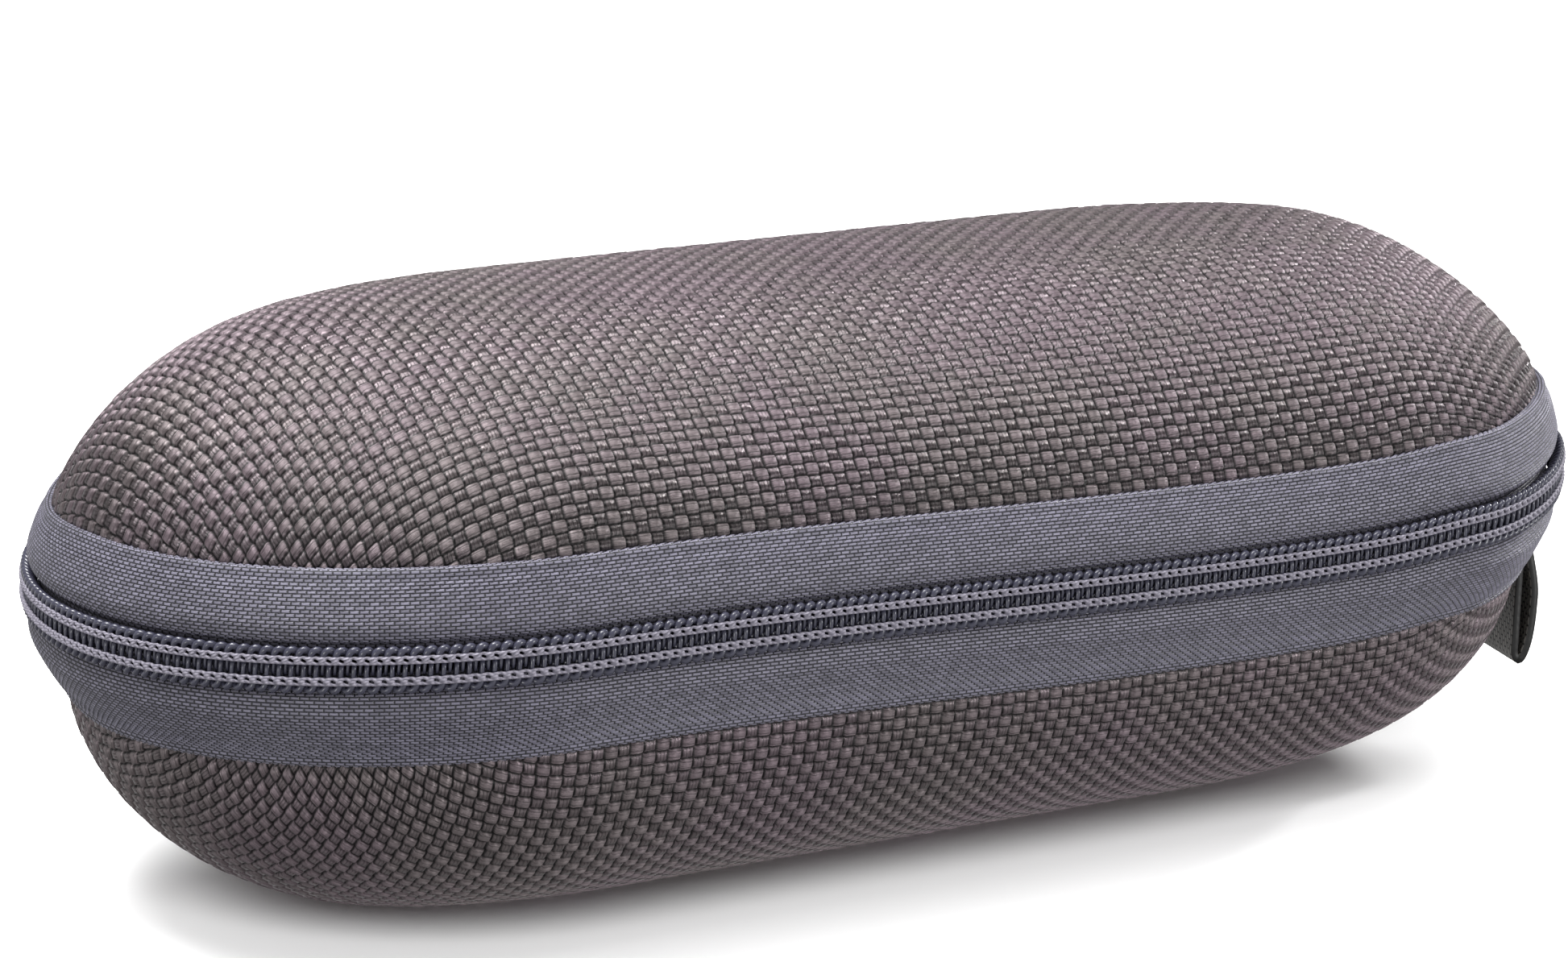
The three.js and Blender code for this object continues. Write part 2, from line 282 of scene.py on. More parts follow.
def swept(along, offset, z):
    """Points along the outline, moved outwards by offset, at height z. All arrays broadcast."""
    at, normal = outline(along)
    return stacked(at[..., 0] + normal[..., 0] * offset, at[..., 1] + normal[..., 1] * offset, z)


# ---- materials


def srgb(red, green, blue):
    """Linear colour from 8-bit display values."""
    values = []
    for c in (red / 255, green / 255, blue / 255):
        values.append(c / 12.92 if c <= 0.04045 else ((c + 0.055) / 1.055) ** 2.4)
    return (*values, 1.0)


class Value:
    """A node's output. Arithmetic on it adds math nodes to its material."""

    def __init__(self, look, socket):
        self.look, self.socket = look, socket

    def __add__(self, other):
        return self.look.math("ADD", self, other)

    def __sub__(self, other):
        return self.look.math("SUBTRACT", self, other)

    def __mul__(self, other):
        return self.look.math("MULTIPLY", self, other)

    def __abs__(self):
        return self.look.math("ABSOLUTE", self)


class Nodes:
    """The nodes of a material or the world, with short calls for those that are needed."""

    def __init__(self, owner, shader):
        owner.use_nodes = True
        self.tree = owner.node_tree
        self.inputs = self.tree.nodes[shader].inputs

    def put(self, socket, value):
        if isinstance(value, Value):
            self.tree.links.new(value.socket, socket)
        else:
            socket.default_value = value

    def node(self, kind, inputs=(), output=0, **settings):
        """Adds a node, and gives one of its outputs."""
        node = self.tree.nodes.new(f"ShaderNode{kind}")
        for key, value in settings.items():
            setattr(node, key, value)
        for key, value in dict(inputs).items():
            self.put(node.inputs[key], value)
        return Value(self, node.outputs[output])

    def math(self, operation, *values):
        return self.node("Math", enumerate(values), operation=operation)

    def choose(self, factor, a, b):
        """a where factor is 0, b where it is 1."""
        return self.node("Mix", {0: factor, 2: a, 3: b}, data_type="FLOAT")

    def step(self, value, low, high):
        """0 under low, 1 over high, smooth between."""
        return self.node("MapRange", {0: value, 1: low, 2: high}, interpolation_type="SMOOTHSTEP")

    def colours(self, factor, a, b):
        """Colour a where factor is 0, b where it is 1."""
        return self.node("Mix", {0: factor, 6: a, 7: b}, 2, data_type="RGBA")

    def vector(self, x, y, z=0.0):
        return self.node("CombineXYZ", {0: x, 1: y, 2: z})

    def part(self, vector, axis):
        return self.node("SeparateXYZ", {0: vector}, axis)

    def noise(self, scale, detail=2.0, roughness=0.5, at=None):
        inputs = {"Vector": at or self.place(), "Scale": scale, "Detail": detail, "Roughness": roughness}
        return self.node("TexNoise", inputs, "Fac")

    def hash(self, vector):
        return self.node("TexWhiteNoise", {"Vector": vector}, "Value")

    def place(self):
        """Position on the object at rest, in metres."""
        return self.node("TexCoord", output="Object")

    def uv(self):
        """The two yarn coordinates."""
        yarn = self.node("UVMap", uv_map="Yarn")
        return self.part(yarn, 0), self.part(yarn, 1)

    def cell(self, coordinate):
        """Number of the yarn, and the place across it from -0.5 to 0.5."""
        number = self.math("FLOOR", coordinate + 0.5)
        return number, coordinate - number

    def scaled(self, colour, factor):
        """A colour made lighter or darker."""
        return self.node("VectorMath", {0: colour, "Scale": factor}, operation="SCALE")


class Look(Nodes):
    """A material."""

    def __init__(self, name, roughness, metallic=0.0, specular=0.5):
        self.material = bpy.data.materials.new(name)
        super().__init__(self.material, "Principled BSDF")
        self.inputs["Roughness"].default_value = roughness
        self.inputs["Metallic"].default_value = metallic
        self.inputs["Specular IOR Level"].default_value = specular

    def finish(self, colour, bump=None, depth=0.0, strength=1.0, roughness=None):
        """Puts the colour, a bump with its depth and a roughness that varies on the shader."""
        self.put(self.inputs["Base Color"], colour)
        if roughness is not None:
            self.put(self.inputs["Roughness"], roughness)
        if bump is not None:
            inputs = {"Strength": strength, "Distance": depth, "Height": bump}
            self.put(self.inputs["Normal"], self.node("Bump", inputs))
        return self.material


def woven_look():
    """Plain weave of flat, shiny yarns: column counts the warp, row the weft."""
    look = Look("woven_skin", 0.46, metallic=0.62, specular=0.8)
    u, v = look.uv()
    column, a = look.cell(u)
    row, b = look.cell(v)
    weft = look.math("FLOORED_MODULO", column + row, 2.0)
    across, along = look.choose(weft, a, b), look.choose(weft, b, a)
    yarn = look.choose(weft, column + 500.0, row)
    own = look.hash(look.vector(column, row, 3.0))
    fibre_place = look.vector(along * 2.0, across * 30.0, own * 40.0)
    fibres = look.step(look.noise(1.0, 3.0, 0.6, fibre_place), 0.3, 0.7)
    # each float is two or three strands, with a soft groove between them
    strands = look.choose(weft, 3.0, 2.0)
    ripple = look.math("COSINE", (across + (own - 0.5) * 0.16) * strands * (2 * PI))
    groove = look.step(ripple * -1.0, look.choose(weft, 0.1, 0.72), 1.0)
    # painted shade: darker towards the edges of each float and in the pits between floats
    painted_edge_shade = look.step(look.math("MAXIMUM", abs(a), abs(b)), 0.36, 0.47)
    tint = look.hash(look.vector(yarn, 7.0))
    patch, wide_patch = look.noise(45.0), look.noise(21.0, 1.0)
    hue = look.step(tint * 0.12 + patch, 0.38, 0.72)
    colour = look.colours(hue, srgb(114, 105, 106), srgb(117, 104, 110))
    # painted shade: the warp is painted darker than the weft, and both darker still on the lid's wall near
    # the seam than on the crown and the base, in place of how the yarns' gloss falls there
    above_wall = look.part(look.place(), 2) - (LID.seam_z + 2 * MM)
    painted_light_away_from_wall = look.step(abs(above_wall), 0.0, 13 * MM)
    painted_yarn_shade = look.choose(weft, painted_light_away_from_wall * 0.5 + 0.38, painted_light_away_from_wall * 0.24 + 0.84)
    lightness = (fibres * 0.72 + 0.64) * (own * 0.24 + 0.84) * painted_yarn_shade * (wide_patch * 0.24 + 0.88)
    # painted shade: the colour is darker in the grooves between strands and at the floats' edges and pits
    lightness = lightness * (groove * -0.45 + 1.0) * (painted_edge_shade * -0.94 + 1.04)
    # the gloss runs round each yarn, so it is turned a quarter from the weft to the warp
    tangent = look.node("Tangent", direction_type="UV_MAP", uv_map="Yarn")
    look.put(look.inputs["Tangent"], tangent)
    look.put(look.inputs["Anisotropic"], 0.92)
    look.put(look.inputs["Anisotropic Rotation"], weft * 0.25)
    height = fibres * 0.36 - groove * 0.5
    return look.finish(look.scaled(colour, lightness), height, 0.055 * MM, 1.0, look.choose(weft, 0.28, 0.43))


def tape_look(name, light, dark):
    """Narrow tape woven in fine bricks: u counts bricks along it, v counts rows across it."""
    look = Look(name, 0.45, specular=0.6)
    u, v = look.uv()
    row, b = look.cell(v)
    brick, a = look.cell(u + look.math("FLOORED_MODULO", row, 2.0) * 0.5)
    own, line = look.hash(look.vector(brick, row)), look.hash(look.vector(row, 11.0))
    fibres = look.noise(1.0, 2.0, 0.6, look.vector(u * 3.0, v * 9.0))
    gap = look.math("MAXIMUM", look.step(abs(a), 0.34, 0.49), look.step(abs(b), 0.22, 0.5))
    tone = look.colours(look.noise(120.0), srgb(*light), srgb(*dark))
    # painted shade: the colour is darkened in the gaps between bricks and rows, which the bump also presses
    # in
    lightness = (own * 0.42 + 0.68) * (line * 0.1 + 0.95) * (fibres * 0.5 + 0.75) * (gap * -1.22 + 1.25)
    return look.finish(look.scaled(tone, lightness), fibres * 0.25 - gap, 0.12 * MM)


def coil_look():
    look = Look("zip_coil", 0.22, specular=0.6)
    fleck = look.noise(900.0)
    colour = look.colours(fleck, srgb(52, 52, 66), srgb(70, 70, 86))
    return look.finish(colour, fleck, 0.03 * MM, 0.5, fleck * 0.16 + 0.18)


def thread_look():
    """Two plies twisted together: u counts their turns."""
    look = Look("zip_thread", 0.55, specular=0.4)
    u, v = look.uv()
    ply = look.math("SINE", (u * 2.0 + v) * (2 * PI))
    # painted shade: the thread is painted darker in the groove where the two plies twist round each other
    shade = look.step(ply * 0.3 + look.noise(1500.0), 0.0, 1.0)
    colour = look.colours(shade, srgb(111, 108, 121), srgb(158, 154, 167))
    return look.finish(colour, ply, 0.04 * MM, 0.6)


def foam_look():
    look = Look("eva_foam", 0.85, specular=0.25)
    grain = look.noise(2600.0, 3.0, 0.7)
    colour = look.colours(grain, srgb(38, 38, 41), srgb(56, 56, 60))
    return look.finish(colour, grain, 0.08 * MM, 0.7)


def velour_look():
    look = Look("lining", 0.95, specular=0.15)
    look.put(look.inputs["Sheen Weight"], 0.5)
    look.put(look.inputs["Sheen Roughness"], 0.4)
    pile, drift = look.noise(3200.0, 3.0, 0.7), look.noise(60.0)
    shade = look.step(drift * 0.5 + pile, 0.4, 1.1)
    colour = look.colours(shade, srgb(40, 40, 45), srgb(72, 71, 78))
    return look.finish(colour, pile, 0.15 * MM, 0.8)


def mesh_look():
    """Knitted spacer mesh: the first yarn coordinate is 1 in a dimple's middle."""
    look = Look("pocket_mesh", 0.7, specular=0.35)
    hole, _ = look.uv()
    knit = look.noise(2400.0, 2.0, 0.6)
    # painted shade: the mesh is painted darker towards the middle of each dimple
    shade = look.step(hole * -0.6 + knit, 0.1, 0.9)
    colour = look.colours(shade, srgb(30, 30, 34), srgb(92, 91, 99))
    return look.finish(colour, knit, 0.1 * MM, 0.8)


def metal_look():
    look = Look("slider_metal", 0.3, metallic=0.9)
    wear = look.noise(300.0, 4.0, 0.7)
    colour = look.colours(look.step(wear, 0.35, 0.75), srgb(88, 89, 97), srgb(126, 127, 134))
    return look.finish(colour, wear, 0.02 * MM, 0.4, wear * 0.22 + 0.22)


def floor_look():
    look = Look("floor", 0.9, specular=0.05)
    fleck = look.noise(8.0)
    return look.finish(look.colours(fleck, (0.95, 0.95, 0.95, 1), (0.97, 0.97, 0.97, 1)))


WOVEN = woven_look()
TAPE = tape_look("zip_tape", (118, 115, 131), (110, 108, 122))
COIL = coil_look()
THREAD = thread_look()
FOAM = foam_look()
VELOUR = velour_look()
METAL = metal_look()
BINDING = tape_look("binding_tape", (92, 90, 102), (80, 78, 90))
WEBBING = tape_look("webbing", (118, 114, 108), (98, 96, 92))
ELASTIC = tape_look("elastic", (78, 78, 86), (62, 62, 70))
MESH = mesh_look()

# ---- woven covers

WARP_PITCH = 1.78 * MM  # from one warp yarn to the next, along X
WEFT_PITCH = 1.62 * MM  # from one weft yarn to the next
TUCK = 3.4 * MM  # the cloth goes this far under the tapes
NET_TUCK = 8 * MM  # the net of crossings is laid a little further, so that its edge is whole


def dome_table(half):
    """Distances along the section from the spine, with the inset and the rise there."""
    inset, rise = half.section(wall=[-NET_TUCK])
    far = np.concatenate([[0], np.cumsum(np.hypot(np.diff(inset), np.diff(rise)))])
    return far, inset, rise


def round_point(table, half, along, down):
    """Points of a round-ended form, in its quarter with x positive and y negative."""
    far, insets, rises = table
    inset, rise = np.interp(down, far, insets), np.interp(down, far, rises)
    at, normal = outline(along)
    plan = at - normal * np.asarray(inset)[..., None]
    return stacked(plan[..., 0], -plan[..., 1], half.z(rise))


def round_normal(table, half, along, down):
    """Outward normals of the same form."""
    far, insets, rises = table
    tiny = 0.2 * MM
    low, high = np.clip(down - tiny, 0, far[-1]), np.clip(down + tiny, 0, far[-1])
    outwards = np.interp(low, far, insets) - np.interp(high, far, insets)
    upwards = half.side * (np.interp(high, far, rises) - np.interp(low, far, rises))
    size = np.hypot(outwards, upwards)
    _, normal = outline(along)
    flat = -half.side * upwards / size
    return stacked(normal[..., 0] * flat, -normal[..., 1] * flat, half.side * outwards / size)


def depth_at(x, y):
    """How far inside the outline a point in plan is, on the dome's own scaled outlines."""
    low, high = np.full(x.shape, -8 * MM), np.full(x.shape, END_RADIUS - 1e-6)
    for _ in range(30):
        middle = (low + high) / 2
        wide, deep = x / (1 - middle / HALF_LENGTH), y / (1 - middle / END_RADIUS)
        outside = np.clip(wide - SIDE, 0, None) ** 2 + deep ** 2 > END_RADIUS ** 2
        high, low = np.where(outside, middle, high), np.where(outside, low, middle)
    return low


def settle(half, point, normal):
    """The points of the round-ended form, pressed along its normals onto the dome."""
    inset, rise = half.section(wall=[-20 * MM])
    low, high = np.full(point.shape[:-1], -2 * MM), np.full(point.shape[:-1], 10 * MM)
    for _ in range(20):
        middle = (low + high) / 2
        p = point - normal * middle[..., None]
        level = half.side * (p[..., 2] - half.seam_z)
        deep = depth_at(np.abs(p[..., 0]), np.abs(p[..., 1])) > np.interp(level, rise[::-1], inset[::-1])
        inside = deep & (level < half.height)
        high, low = np.where(inside, middle, high), np.where(inside, low, middle)
    return point - normal * low[..., None]


def drape(half):
    """Crossings of the yarns on a quarter of a dome, laid outwards at fixed yarn spacings."""
    table = dome_table(half)
    limit = table[0][-1]
    tip = SIDE + QUARTER_ARC
    columns = int((SIDE + limit) / WARP_PITCH) + 2
    rows = int(limit / WEFT_PITCH) + 2
    place = np.full((columns, rows, 2), np.nan)  # along, down
    point = np.full((columns, rows, 3), np.nan)
    x, y = np.arange(columns) * WARP_PITCH, np.arange(rows) * WEFT_PITCH
    place[:, 0] = stacked(np.where(x < SIDE, x, tip), np.maximum(x - SIDE, 0))
    place[0] = stacked(0, y)
    place[x - SIDE > limit, 0] = place[0, y > limit] = np.nan
    point[:, 0] = round_point(table, half, *place[:, 0].T)
    point[0] = round_point(table, half, *place[0].T)
    step = 1e-6
    for total in range(2, columns + rows):
        i = np.arange(max(1, total - rows + 1), min(columns, total))
        j = total - i
        a, b, c = point[i - 1, j], point[i, j - 1], point[i - 1, j - 1]
        good = np.isfinite(a[:, 0]) & np.isfinite(b[:, 0]) & np.isfinite(c[:, 0])
        i, j, a, b, c = i[good], j[good], a[good], b[good], c[good]
        if not len(i):
            continue
        guess = a + b - c
        x, y = np.abs(guess[:, 0]), np.abs(guess[:, 1])
        turn = PI / 2 - np.arctan2(y, np.maximum(x - SIDE, 0))
        along = np.where(x <= SIDE, x, SIDE + END_RADIUS * turn)
        down = place[i - 1, j, 1] + place[i, j - 1, 1] - place[i - 1, j - 1, 1]

        def misses(p):
            return ((p - a) ** 2).sum(1) - WARP_PITCH ** 2, ((p - b) ** 2).sum(1) - WEFT_PITCH ** 2

        # Newton steps to the place at one yarn spacing from both neighbours
        for _ in range(14):
            p = round_point(table, half, along, down)
            p_along = (round_point(table, half, along + step, down) - p) / step
            p_down = (round_point(table, half, along, down + step) - p) / step
            to_a, to_b = p - a, p - b
            miss_a, miss_b = misses(p)
            m11, m12 = 2 * (to_a * p_along).sum(1), 2 * (to_a * p_down).sum(1)
            m21, m22 = 2 * (to_b * p_along).sum(1), 2 * (to_b * p_down).sum(1)
            det = m11 * m22 - m12 * m21
            det = np.where(np.abs(det) < 1e-12, 1e-12, det)
            along = along - np.clip((m22 * miss_a - m12 * miss_b) / det, -6 * MM, 6 * MM)
            down = down - np.clip((m11 * miss_b - m21 * miss_a) / det, -1 * MM, 1 * MM)
        p = round_point(table, half, along, down)
        spread = np.linalg.norm(p - c, axis=1)
        good = (np.abs(misses(p)).sum(0) < 2e-8) & (down <= limit) & (spread > 0.35 * MM)
        place[i[good], j[good]] = stacked(along, down)[good]
        point[i[good], j[good]] = p[good]
    return settle(half, point, round_normal(table, half, place[..., 0], place[..., 1]))


def whole_net(half):
    """All four quarters of the drape, indexed from the most negative yarns."""
    quarter = drape(half)
    right = np.concatenate([quarter[:, :0:-1] * [1, -1, 1], quarter], 1)
    return np.concatenate([right[:0:-1] * [-1, 1, 1], right], 0)


def between(net, u, v):
    """Points of the net between its crossings. u and v count yarns from its first one."""
    i, j = np.floor(u).astype(int), np.floor(v).astype(int)
    total = 0
    for k, wu in enumerate(spline_weights(u - i)):
        for m, wv in enumerate(spline_weights(v - j)):
            a = np.clip(i + k - 1, 0, net.shape[0] - 1)
            b = np.clip(j + m - 1, 0, net.shape[1] - 1)
            total = total + net[a, b] * (wu * wv)[..., None]
    return total


# Heights of a float's face under the crown of the weft, in millimetres
WEFT_SHOULDER, WARP_SHOULDER, FLANK, PIT = -0.04, -0.14, -0.5, -0.68
SHOULDERS = (0.335, 0.26)  # weft and warp: how far a float's shoulders stand from its middle
BULGE_U, BULGE_V = 0.065, 0.045  # a weft float's outline bulges by this into its neighbours'
LOOSE_PLACE, LOOSE_HEIGHT = 0.02, 0.025  # how far the floats vary from each other
SHOWN_SHOULDER = 0.32  # where the shoulders are in the yarn coordinates


def add_cover(half):
    """The woven cover of one half: every float of every yarn, pressed over the dome."""
    net = whole_net(half)
    columns, rows = net.shape[:2]
    middle_u, middle_v = (columns - 1) // 2, (rows - 1) // 2
    # three lines of points for each yarn: the pit before it and its float's two shoulders
    i, j = np.indices((3 * (columns - 3), 3 * (rows - 3)))
    cu, cv, pu, pv = i // 3 + 1, j // 3 + 1, i % 3, j % 3
    weft = (cu - middle_u + cv - middle_v) % 2 == 1  # where the weft is on top
    rng = np.random.default_rng(5 if half.side > 0 else 6)
    own = rng.normal(0, 1, (columns, rows, 3))[cu, cv]

    def offsets(part, shoulder):
        return np.select([part == 0, part == 1], [-0.5, -shoulder], shoulder)

    def places(part, other, bulge, loose):
        # the outline between two cells leans away from the weft float, but not at the corners
        lean = np.where((part == 0) & (other != 0), np.where(weft, -bulge, bulge), 0)
        shoulder = np.where(weft, SHOULDERS[0], SHOULDERS[1])
        return offsets(part, shoulder) + lean + LOOSE_PLACE * loose * (part != 0)

    flat_u = cu + places(pu, pv, BULGE_U, own[..., 0])
    flat_v = cv + places(pv, pu, BULGE_V, own[..., 1])
    top = np.where(weft, WEFT_SHOULDER, WARP_SHOULDER) + LOOSE_HEIGHT * own[..., 2]
    height = np.select([(pu == 0) & (pv == 0), (pu == 0) | (pv == 0)], [PIT, FLANK], top) * MM
    point = between(net, flat_u, flat_v)
    tiny = 0.05
    d_u = between(net, flat_u + tiny, flat_v) - between(net, flat_u - tiny, flat_v)
    d_v = between(net, flat_u, flat_v + tiny) - between(net, flat_u, flat_v - tiny)
    normal = unit(np.cross(d_u, d_v))
    outwards = np.sign(normal[..., 2:3]) * half.side
    # on the wall the normal is turned away from the middle, as its height can have either sign
    plan = point[..., :2] - stacked(np.clip(point[..., 0], -SIDE, SIDE), 0)
    radial = np.sign((normal[..., :2] * plan).sum(-1))[..., None]
    steep = np.abs(normal[..., 2:3]) < 0.5
    normal = normal * np.where(steep, radial, outwards)
    point = wave(point + normal * height[..., None])
    rise = half.side * (net[..., 2] - half.seam_z)
    shown = (rise[cu, cv] > -TUCK) & np.isfinite(point[..., 0])
    faces = grid_faces(*shown.shape, flip=half.side < 0)
    faces = faces[shown.ravel()[faces].all(1)]
    uv = stacked(
        cu - middle_u + offsets(pu, SHOWN_SHOULDER), cv - middle_v + offsets(pv, SHOWN_SHOULDER)
    )
    name = f"{half.name}_cover"
    add_mesh(f"{name}_weave", np.nan_to_num(point), faces, WOVEN, uv, half.name, [name])


for half in (BASE, LID):
    add_cover(half)

# ---- zip tapes

BRICK = 1.2 * MM  # length of one float of the tape's weave
BRICK_ROW = 0.455 * MM
TAPE_THICKNESS = 0.9 * MM
TAPE_END = SIDE + 2 * QUARTER_ARC
COIL_END = SIDE + QUARTER_ARC + END_RADIUS * math.radians(52)
BRIGHT_ROW = 0.27  # the relief is highest at this share of the tape's width


def bricks(columns, rows, bright_row=-9.0):
    """Relief of the tape's weave, with 4 columns and 2 rows of points for each brick."""
    i, j = np.indices((columns, rows))
    row = (j + 1) // 2
    ends = (i + 2 * (row % 2)) % 4 == 2
    between_rows = np.where(i % 2 == 0, -0.07, -0.04)
    height = np.where(j % 2 == 1, np.where(ends, -0.05, 0.09), between_rows)
    return height * (1 + 0.9 * np.exp(-((row - bright_row) / 1.5) ** 2)) * MM


def add_tape(half):
    """Tape that dips behind the coil, bulges and ends in a thick selvage in the seam."""
    # (outward offset, distance from the zip's plane) in millimetres, from the selvage to the chain
    band, seam, chain, gap = (x / MM for x in (half.band, -half.inset, CHAIN_EDGE, CHAIN_GAP))
    slope = seam + 1.2
    outer = np.array([
        (seam - 0.8, band + 0.28), (seam + 0.3, band + 0.42), (seam + 0.62, band + 0.05),
        (seam + 0.8, band - 0.7), (0.62 * slope - 0.38, band * 0.79), (0.25 * slope - 0.6, band * 0.62),
        (-0.75, band * 0.47), (-0.85, chain + 0.7), (-1.15, chain + 0.1), (-1.8, chain - 0.25),
        (-2.1, chain - 0.9), (-2.0, gap),
    ])
    line = smooth_line(outer * MM, BRICK_ROW / 2)
    normal = line_normals(line)
    normal *= np.sign(normal[len(line) // 2, 0])
    rows = len(line)
    # behind the coil's ends the two tapes meet
    meeting = [(-0.45, 0.3 * band), (-0.3, 1.2), (-0.5, 0.2)]
    shut = smooth_line(np.vstack([outer[:7], meeting]) * MM, 0.05 * MM)
    shut = shut[np.linspace(0, len(shut) - 1, rows).astype(int)]
    columns = int(round(2 * TAPE_END / (BRICK / 4))) + 1
    along = np.linspace(-TAPE_END, TAPE_END, columns)
    behind = smoothstep((np.abs(along) - COIL_END - 2.5 * MM) / (5 * MM))[:, None, None]
    smooth = line * (1 - behind) + shut * behind
    raised = smooth + normal * bricks(columns, rows, BRIGHT_ROW * rows / 2)[..., None]
    drift = 0.12 * MM * np.sin(along / (23 * MM) + 1.0) + 0.08 * MM * np.sin(along / (9 * MM))
    offset = raised[..., 0] + drift[:, None] * np.sin(PI * np.arange(rows) / rows) ** 2
    front = swept(along[:, None], offset, ZIP_Z + half.side * raised[..., 1])
    # inner face, on far fewer points
    pick = np.linspace(0, rows - 1, 12).astype(int)[::-1]
    inner = smooth[:, pick] - TAPE_THICKNESS * 0.8 * normal[pick]
    inner_z = ZIP_Z + half.side * np.maximum(inner[..., 1], 0.15 * MM)
    points = wave(np.concatenate([front, swept(along[:, None], inner[..., 0], inner_z)], 1))
    total = rows + len(pick)
    faces = grid_faces(columns, total, wrap_columns=True, flip=half.side > 0)
    v = np.concatenate([np.arange(rows), pick]) / 2 + 0.5
    uv = stacked((along / BRICK)[:, None], v)
    # the ends behind the coil are a lighter piece of their own
    at_end = (np.abs(along) > COIL_END + 1 * MM)[faces[:, 0] // total]
    name = f"{half.name}_zip_tape"
    for part, chosen in (("weave", ~at_end), ("ends", at_end)):
        add_mesh(f"{name}_{part}", points, faces[chosen], TAPE, uv, half.name, [name])


for half in (BASE, LID):
    add_tape(half)

# ---- coils

TOOTH = 1.5 * MM


def on_outline(along, offset, away, side):
    """Points along the waved outline, at a distance from the zip's plane."""
    return wave(swept(along, offset, ZIP_Z + side * away))


def add_coil(half):
    """One wire, whose turns have a head in the middle of the chain and a round root."""
    side = half.side
    turns = int(2 * COIL_END / TOOTH)
    start = -turns * TOOTH / 2 + TOOTH / 4
    head = -0.42 if side > 0 else -0.22
    # one turn as (share of a tooth along, outward offset, distance from the zip's plane), in millimetres
    turn = np.array([
        (-0.02, head - 0.1, -0.45), (0.0, head, 0.0), (0.03, head - 0.02, 0.6), (0.06, -0.28, 1.3),
        (0.11, -0.2, 1.8), (0.28, -0.14, 2.25), (0.48, -0.18, 2.48), (0.7, -0.38, 2.4),
        (0.9, -0.75, 2.05), (1.02, -1.2, 1.6), (1.02, -1.5, 0.8), (0.995, -1.35, 0.1),
        (0.995, -1.0, -0.42), (0.985, -0.66, -0.58),
    ])
    scale = np.array([1.5, 1, 1])  # a tooth in millimetres
    turn = smooth_line(turn * scale, 0.3) / scale
    step = np.arange(turns)[:, None]
    # the two coils turn opposite ways along the zip, half a tooth apart
    along = (side * (start + (step + turn[None, :, 0]) * TOOTH)).ravel()
    offset = np.tile(turn[:, 1] * MM, turns)
    away = np.tile(turn[:, 2] * MM, turns)
    root = smoothstep((away - 0.9 * MM) / (1.1 * MM))
    thick = (0.22 if side > 0 else 0.29) + (0.2 if side > 0 else 0.11) * root
    points, faces = tube(on_outline(along, offset, away, side), thick * MM, 8)
    name = f"{half.name}_coil"
    add_mesh(f"{name}_wire", points, faces, COIL, None, half.name, [name])


STITCH_MIDDLE = 1.26 * MM  # from the zip's plane


def add_coil_stitches(half):
    """The sewing line: two threads that part round a hole between each two teeth."""
    side = half.side
    turns = int(2 * COIL_END / TOOTH) - 1
    start = (-turns - 1) * TOOTH / 2 + TOOTH / 4
    per_tooth = 8
    share = np.arange(turns * per_tooth + 1) / per_tooth
    threads = []
    for edge in (-1, 1):
        phase = 2 * PI * (share - 0.08 + 0.1 * edge)
        open_up = 0.5 - 0.5 * np.cos(phase)
        away = STITCH_MIDDLE + edge * (0.23 + 0.13 * open_up) * MM
        offset = (0.2 - 0.12 * open_up) * MM
        along = side * (start + share * TOOTH)
        path, radius = on_outline(along, offset, away, side), (0.25 - 0.07 * open_up) * MM
        threads.append(thread(path, radius, share, 7))
    # the thread's own knot over each tooth fills the space between two holes
    reach = np.linspace(-1, 1, 7)
    for tooth in range(turns + 1):
        along = side * (start + (tooth + 0.08 + 0.29 * reach) * TOOTH)
        away = STITCH_MIDDLE + 0.1 * MM * reach
        offset = (0.16 - 0.16 * reach ** 2) * MM
        radius = 0.34 * MM * np.sqrt(np.clip(1 - 0.92 * reach ** 2, 0, 1))
        threads.append(thread(on_outline(along, offset, away, side), radius, tooth + 0.3 * reach, 7))
    points, faces, uv = joined(threads)
    add_mesh(f"{half.name}_coil_stitches", points, faces, THREAD, uv, half.name)


for half in (BASE, LID):
    add_coil(half)
    add_coil_stitches(half)

# ---- shells, linings and bindings

RIM_AWAY = 4.5 * MM  # from the zip's plane to the rims
SHELL_DEPTH, SHELL_THICKNESS = 1.3 * MM, 3.3 * MM
LINING_DEPTH, LINING_THICKNESS = 4.9 * MM, 0.8 * MM
BINDING_INSET = 6.0 * MM  # from the seam's inset to the binding's outer face
BINDING_WIDTH, BINDING_THICKNESS = 5.5 * MM, 0.8 * MM
STITCH_PITCH = 3.0 * MM


def inside_outline(at, inset, half, rise):
    """Points at an inset from points of the outline, at a height over the seam."""
    x, y = at[..., 0] * (1 - inset / HALF_LENGTH), at[..., 1] * (1 - inset / END_RADIUS)
    return wave(stacked(x, y, half.z(rise)))


def rings(half, profile, stations=400):
    """Points round the whole outline, for a profile of (inset, height over the seam)."""
    along = np.linspace(-HALF_ROUND, HALF_ROUND, stations, endpoint=False)
    at, _ = outline(along)
    return inside_outline(at[:, None], profile[:, 0], half, profile[:, 1]), along


